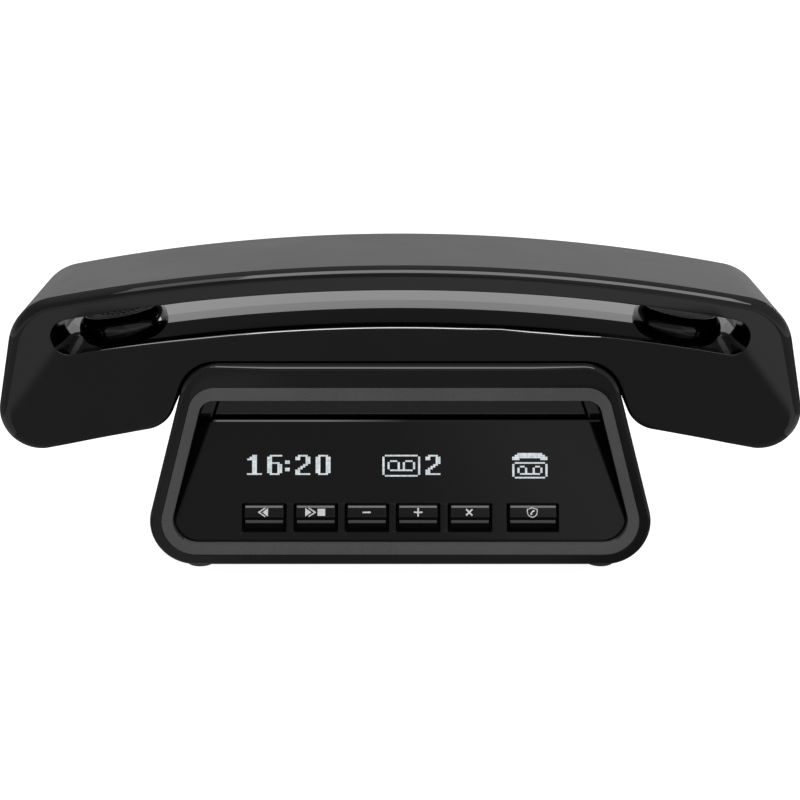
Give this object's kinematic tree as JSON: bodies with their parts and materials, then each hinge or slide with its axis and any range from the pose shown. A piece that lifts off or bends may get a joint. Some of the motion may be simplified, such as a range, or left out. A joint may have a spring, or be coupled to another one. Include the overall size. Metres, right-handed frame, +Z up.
{
  "type": "answering machine",
  "caption": "Answering machine: trapezoid base with leaning display and playback keys, and an arched cordless handset lying across its top.",
  "frame": {"origin": "on the table under the middle of the object, level with the underside of the feet", "axes": "+X along the handset, to the right seen from the front; the front faces -Y; +Z up"},
  "size_m": [0.2208, 0.054, 0.0889],
  "materials": {
    "gloss_black": "moulded plastic, high gloss",
    "satin_black": "soft-touch satin, very fine grain",
    "bezel_satin": "satin dark grey trim",
    "panel_gloss": "smoked acrylic, polished",
    "key_black": "gloss",
    "dial_key_black": "satin",
    "grille_mesh": "perforated, satin black",
    "rubber_black": "matte",
    "steel": "plain",
    "gold_contact": "plated",
    "board_green": "solder resist",
    "component_dark": "moulded",
    "display_glass": "polished",
    "battery_wrap": "shrink wrap"
  },
  "bodies": {
    "base": {"base_rear_cover": "satin_black", "base_screws": "steel", "base_shell": "gloss_black", "bezel_ring": "bezel_satin", "charge_block": "component_dark", "display_module": "display_glass", "display_panel": "panel_gloss", "key_board": "board_green", "line_socket": "component_dark", "loudspeaker": "component_dark", "main_board": "board_green", "power_inlet": "component_dark", "radio_module": "component_dark", "recess_liner": "gloss_black", "rubber_feet": "rubber_black", "shelf_deck": "satin_black", "shelf_side_ledges": "satin_black", "tact_switches": "component_dark"},
    "handset": {"handset_front_cover": "gloss_black", "handset_rear_cover": "gloss_black", "handset_top_band": "satin_black", "slot_liner": "gloss_black", "speaker_drum": "gloss_black", "speaker_grille": "grille_mesh", "ringer_capsule": "steel", "mic_drum": "gloss_black", "mic_drum_cap": "gloss_black", "keypad_housing": "gloss_black", "battery_door": "gloss_black", "battery_pack": "battery_wrap", "earpiece_receiver": "component_dark", "microphone": "component_dark", "handset_board": "board_green", "handset_lcd": "display_glass", "handset_window": "panel_gloss", "key_domes": "steel", "charge_pads": "gold_contact"},
    "key_back": {"key_back": "key_black"},
    "key_play_stop": {"key_play_stop": "key_black"},
    "key_minus": {"key_minus": "key_black"},
    "key_plus": {"key_plus": "key_black"},
    "key_delete": {"key_delete": "key_black"},
    "key_call_guard": {"key_call_guard": "key_black"},
    "dial_key_0": {"dial_key_0": "dial_key_black"},
    "dial_key_1": {"dial_key_1": "dial_key_black"},
    "dial_key_2": {"dial_key_2": "dial_key_black"},
    "dial_key_3": {"dial_key_3": "dial_key_black"},
    "dial_key_4": {"dial_key_4": "dial_key_black"},
    "dial_key_5": {"dial_key_5": "dial_key_black"},
    "dial_key_6": {"dial_key_6": "dial_key_black"},
    "dial_key_7": {"dial_key_7": "dial_key_black"},
    "dial_key_8": {"dial_key_8": "dial_key_black"},
    "dial_key_9": {"dial_key_9": "dial_key_black"},
    "dial_key_hash": {"dial_key_hash": "dial_key_black"},
    "dial_key_star": {"dial_key_star": "dial_key_black"},
    "talk_key": {"talk_key": "dial_key_black"},
    "menu_key": {"menu_key": "dial_key_black"},
    "end_key": {"end_key": "dial_key_black"},
    "charge_pin_front": {"charge_pin_front": "gold_contact"},
    "charge_pin_rear": {"charge_pin_rear": "gold_contact"}
  },
  "joints": [
    {"name": "handset_lift", "type": "slide", "parent": "base", "child": "handset", "axis": [0, 0, 1], "range_m": [0, 0.12]},
    {"name": "key_back_press", "type": "slide", "parent": "base", "child": "key_back", "axis": [0, 0.9239, -0.3827], "range_m": [0, 0.0006], "stiffness_N_per_m": 1000, "springref_m": -0.0003},
    {"name": "key_play_stop_press", "type": "slide", "parent": "base", "child": "key_play_stop", "axis": [0, 0.9239, -0.3827], "range_m": [0, 0.0006], "stiffness_N_per_m": 1000, "springref_m": -0.0003},
    {"name": "key_minus_press", "type": "slide", "parent": "base", "child": "key_minus", "axis": [0, 0.9239, -0.3827], "range_m": [0, 0.0006], "stiffness_N_per_m": 1000, "springref_m": -0.0003},
    {"name": "key_plus_press", "type": "slide", "parent": "base", "child": "key_plus", "axis": [0, 0.9239, -0.3827], "range_m": [0, 0.0006], "stiffness_N_per_m": 1000, "springref_m": -0.0003},
    {"name": "key_delete_press", "type": "slide", "parent": "base", "child": "key_delete", "axis": [0, 0.9239, -0.3827], "range_m": [0, 0.0006], "stiffness_N_per_m": 1000, "springref_m": -0.0003},
    {"name": "key_call_guard_press", "type": "slide", "parent": "base", "child": "key_call_guard", "axis": [0, 0.9239, -0.3827], "range_m": [0, 0.0006], "stiffness_N_per_m": 1000, "springref_m": -0.0003},
    {"name": "dial_key_0_press", "type": "slide", "parent": "handset", "child": "dial_key_0", "axis": [0, 0, 1], "range_m": [0, 0.0005], "stiffness_N_per_m": 800, "springref_m": -0.0003},
    {"name": "dial_key_1_press", "type": "slide", "parent": "handset", "child": "dial_key_1", "axis": [0, 0, 1], "range_m": [0, 0.0005], "stiffness_N_per_m": 800, "springref_m": -0.0003},
    {"name": "dial_key_2_press", "type": "slide", "parent": "handset", "child": "dial_key_2", "axis": [0, 0, 1], "range_m": [0, 0.0005], "stiffness_N_per_m": 800, "springref_m": -0.0003},
    {"name": "dial_key_3_press", "type": "slide", "parent": "handset", "child": "dial_key_3", "axis": [0, 0, 1], "range_m": [0, 0.0005], "stiffness_N_per_m": 800, "springref_m": -0.0003},
    {"name": "dial_key_4_press", "type": "slide", "parent": "handset", "child": "dial_key_4", "axis": [0, 0, 1], "range_m": [0, 0.0005], "stiffness_N_per_m": 800, "springref_m": -0.0003},
    {"name": "dial_key_5_press", "type": "slide", "parent": "handset", "child": "dial_key_5", "axis": [0, 0, 1], "range_m": [0, 0.0005], "stiffness_N_per_m": 800, "springref_m": -0.0003},
    {"name": "dial_key_6_press", "type": "slide", "parent": "handset", "child": "dial_key_6", "axis": [0, 0, 1], "range_m": [0, 0.0005], "stiffness_N_per_m": 800, "springref_m": -0.0003},
    {"name": "dial_key_7_press", "type": "slide", "parent": "handset", "child": "dial_key_7", "axis": [0, 0, 1], "range_m": [0, 0.0005], "stiffness_N_per_m": 800, "springref_m": -0.0003},
    {"name": "dial_key_8_press", "type": "slide", "parent": "handset", "child": "dial_key_8", "axis": [0, 0, 1], "range_m": [0, 0.0005], "stiffness_N_per_m": 800, "springref_m": -0.0003},
    {"name": "dial_key_9_press", "type": "slide", "parent": "handset", "child": "dial_key_9", "axis": [0, 0, 1], "range_m": [0, 0.0005], "stiffness_N_per_m": 800, "springref_m": -0.0003},
    {"name": "dial_key_hash_press", "type": "slide", "parent": "handset", "child": "dial_key_hash", "axis": [0, 0, 1], "range_m": [0, 0.0005], "stiffness_N_per_m": 800, "springref_m": -0.0003},
    {"name": "dial_key_star_press", "type": "slide", "parent": "handset", "child": "dial_key_star", "axis": [0, 0, 1], "range_m": [0, 0.0005], "stiffness_N_per_m": 800, "springref_m": -0.0003},
    {"name": "talk_key_press", "type": "slide", "parent": "handset", "child": "talk_key", "axis": [0, 0, 1], "range_m": [0, 0.0005], "stiffness_N_per_m": 800, "springref_m": -0.0003},
    {"name": "menu_key_press", "type": "slide", "parent": "handset", "child": "menu_key", "axis": [0, 0, 1], "range_m": [0, 0.0005], "stiffness_N_per_m": 800, "springref_m": -0.0003},
    {"name": "end_key_press", "type": "slide", "parent": "handset", "child": "end_key", "axis": [0, 0, 1], "range_m": [0, 0.0005], "stiffness_N_per_m": 800, "springref_m": -0.0003},
    {"name": "charge_pin_front_press", "type": "slide", "parent": "base", "child": "charge_pin_front", "axis": [0, 0, -1], "range_m": [0, 0.001], "stiffness_N_per_m": 300, "springref_m": -0.001},
    {"name": "charge_pin_rear_press", "type": "slide", "parent": "base", "child": "charge_pin_rear", "axis": [0, 0, -1], "range_m": [0, 0.001], "stiffness_N_per_m": 300, "springref_m": -0.001}
  ]
}
